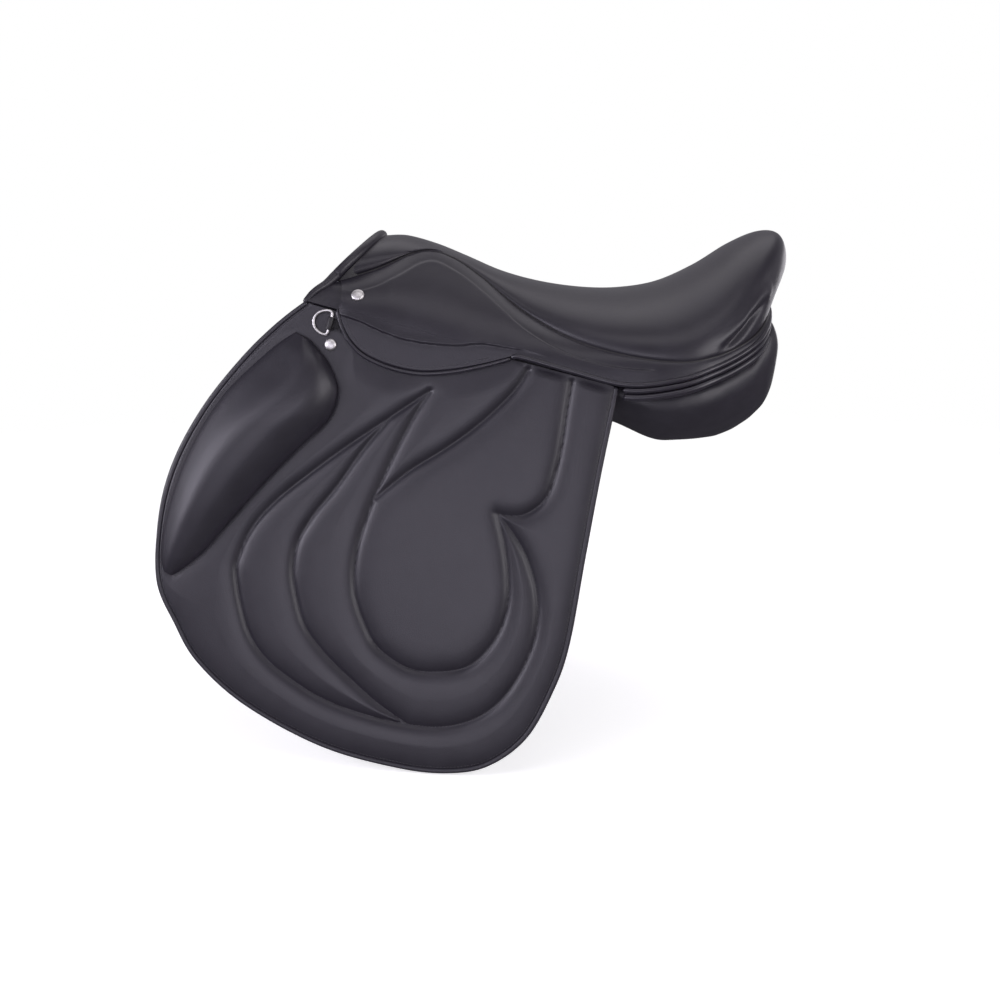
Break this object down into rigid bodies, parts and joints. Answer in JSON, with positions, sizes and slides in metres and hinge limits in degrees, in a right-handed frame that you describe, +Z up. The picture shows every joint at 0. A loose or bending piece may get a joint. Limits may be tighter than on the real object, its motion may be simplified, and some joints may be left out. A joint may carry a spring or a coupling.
{
  "type": "jumping saddle",
  "caption": "Close-contact jumping saddle: dipped seat with high cantle, quilted forward flaps with knee blocks, skirts, panels, girth straps and stirrup bars.",
  "frame": {"origin": "midway between the two panels, on the plane that they bear on, below the rear third of the pommel", "axes": "+X from the pommel to the cantle, -Y to the near (left) side, +Z up"},
  "size_m": [0.6521, 0.441, 0.5228],
  "materials": {
    "leather": "smooth black leather with a soft satin sheen",
    "foam": "moulded seat foam",
    "webbing": "plain woven web",
    "wood": "laminated beech",
    "plate_steel": "forged and pressed steel",
    "nail_steel": "polished pale steel"
  },
  "bodies": {
    "saddle": {"tree": "wood", "head_plate": "plate_steel", "gullet_plate": "plate_steel", "web_long": "webbing", "web_cross": "webbing", "seat_foam": "foam", "seat_cover": "leather", "pommel_roll": "leather", "cantle_welt": "leather", "seat_welt": "leather", "panel_welt": "leather", "left_skirt_top": "leather", "left_point_cover": "leather", "left_head_nail": "nail_steel", "left_sweat_flap": "leather", "left_panel": "leather", "left_billet_web": "webbing", "left_stirrup_bar": "plate_steel", "left_catch_pin": "plate_steel", "right_skirt_top": "leather", "right_point_cover": "leather", "right_head_nail": "nail_steel", "right_sweat_flap": "leather", "right_panel": "leather", "right_billet_web": "webbing", "right_stirrup_bar": "plate_steel", "right_catch_pin": "plate_steel"},
    "left_flap": {"left_flap": "leather", "left_flap_binding": "leather", "left_knee_block": "leather", "left_flap_stud": "nail_steel", "left_dee_chape": "leather"},
    "left_skirt": {"left_skirt": "leather", "left_skirt_piping": "leather"},
    "left_dee": {"left_dee_ring": "nail_steel"},
    "left_catch": {"left_bar_catch": "plate_steel"},
    "left_billet_front": {"left_billet_front": "leather"},
    "left_billet_middle": {"left_billet_middle": "leather"},
    "left_billet_rear": {"left_billet_rear": "leather"},
    "right_flap": {"right_flap": "leather", "right_flap_binding": "leather", "right_knee_block": "leather", "right_flap_stud": "nail_steel", "right_dee_chape": "leather"},
    "right_skirt": {"right_skirt": "leather", "right_skirt_piping": "leather"},
    "right_dee": {"right_dee_ring": "nail_steel"},
    "right_catch": {"right_bar_catch": "plate_steel"},
    "right_billet_front": {"right_billet_front": "leather"},
    "right_billet_middle": {"right_billet_middle": "leather"},
    "right_billet_rear": {"right_billet_rear": "leather"}
  },
  "joints": [
    {"name": "left_flap_lift", "type": "hinge", "parent": "saddle", "child": "left_flap", "pos_m": [-0.245, -0.114, 0.1365], "axis": [-0.9532, 0.1727, 0.2483], "range_deg": [0, 75]},
    {"name": "left_skirt_lift", "type": "hinge", "parent": "left_flap", "child": "left_skirt", "pos_m": [-0.245, -0.114, 0.1365], "axis": [-0.9532, 0.1727, 0.2483], "range_deg": [0, 70]},
    {"name": "left_dee_turn", "type": "hinge", "parent": "left_flap", "child": "left_dee", "pos_m": [-0.23792, -0.11622, 0.11689], "axis": [0.2756, 0.1576, 0.9483], "range_deg": [0, 100]},
    {"name": "left_catch_turn", "type": "hinge", "parent": "saddle", "child": "left_catch", "pos_m": [-0.12306, -0.13415, 0.08701], "axis": [0.1247, 0.9723, -0.1978], "range_deg": [0, 80]},
    {"name": "left_billet_front_swing", "type": "hinge", "parent": "saddle", "child": "left_billet_front", "pos_m": [-0.09496, -0.13223, 0.07272], "axis": [-0.1247, -0.9723, 0.1978], "range_deg": [-10, 10]},
    {"name": "left_billet_middle_swing", "type": "hinge", "parent": "saddle", "child": "left_billet_middle", "pos_m": [-0.06446, -0.13776, 0.06478], "axis": [-0.1247, -0.9723, 0.1978], "range_deg": [-10, 10]},
    {"name": "left_billet_rear_swing", "type": "hinge", "parent": "saddle", "child": "left_billet_rear", "pos_m": [-0.03395, -0.14328, 0.05683], "axis": [-0.1247, -0.9723, 0.1978], "range_deg": [-10, 10]},
    {"name": "right_flap_lift", "type": "hinge", "parent": "saddle", "child": "right_flap", "pos_m": [-0.245, 0.114, 0.1365], "axis": [0.9532, 0.1727, -0.2483], "range_deg": [0, 75]},
    {"name": "right_skirt_lift", "type": "hinge", "parent": "right_flap", "child": "right_skirt", "pos_m": [-0.245, 0.114, 0.1365], "axis": [0.9532, 0.1727, -0.2483], "range_deg": [0, 70]},
    {"name": "right_dee_turn", "type": "hinge", "parent": "right_flap", "child": "right_dee", "pos_m": [-0.23792, 0.11622, 0.11689], "axis": [-0.2756, 0.1576, -0.9483], "range_deg": [0, 100]},
    {"name": "right_catch_turn", "type": "hinge", "parent": "saddle", "child": "right_catch", "pos_m": [-0.12306, 0.13415, 0.08701], "axis": [-0.1247, 0.9723, 0.1978], "range_deg": [0, 80]},
    {"name": "right_billet_front_swing", "type": "hinge", "parent": "saddle", "child": "right_billet_front", "pos_m": [-0.09496, 0.13223, 0.07272], "axis": [0.1247, -0.9723, -0.1978], "range_deg": [-10, 10]},
    {"name": "right_billet_middle_swing", "type": "hinge", "parent": "saddle", "child": "right_billet_middle", "pos_m": [-0.06446, 0.13776, 0.06478], "axis": [0.1247, -0.9723, -0.1978], "range_deg": [-10, 10]},
    {"name": "right_billet_rear_swing", "type": "hinge", "parent": "saddle", "child": "right_billet_rear", "pos_m": [-0.03395, 0.14328, 0.05683], "axis": [0.1247, -0.9723, -0.1978], "range_deg": [-10, 10]}
  ],
  "couplings": [
    {"joint": "left_billet_middle_swing", "follows": "left_billet_front_swing", "ratio": 1},
    {"joint": "left_billet_rear_swing", "follows": "left_billet_front_swing", "ratio": 1},
    {"joint": "right_billet_middle_swing", "follows": "right_billet_front_swing", "ratio": 1},
    {"joint": "right_billet_rear_swing", "follows": "right_billet_front_swing", "ratio": 1}
  ]
}
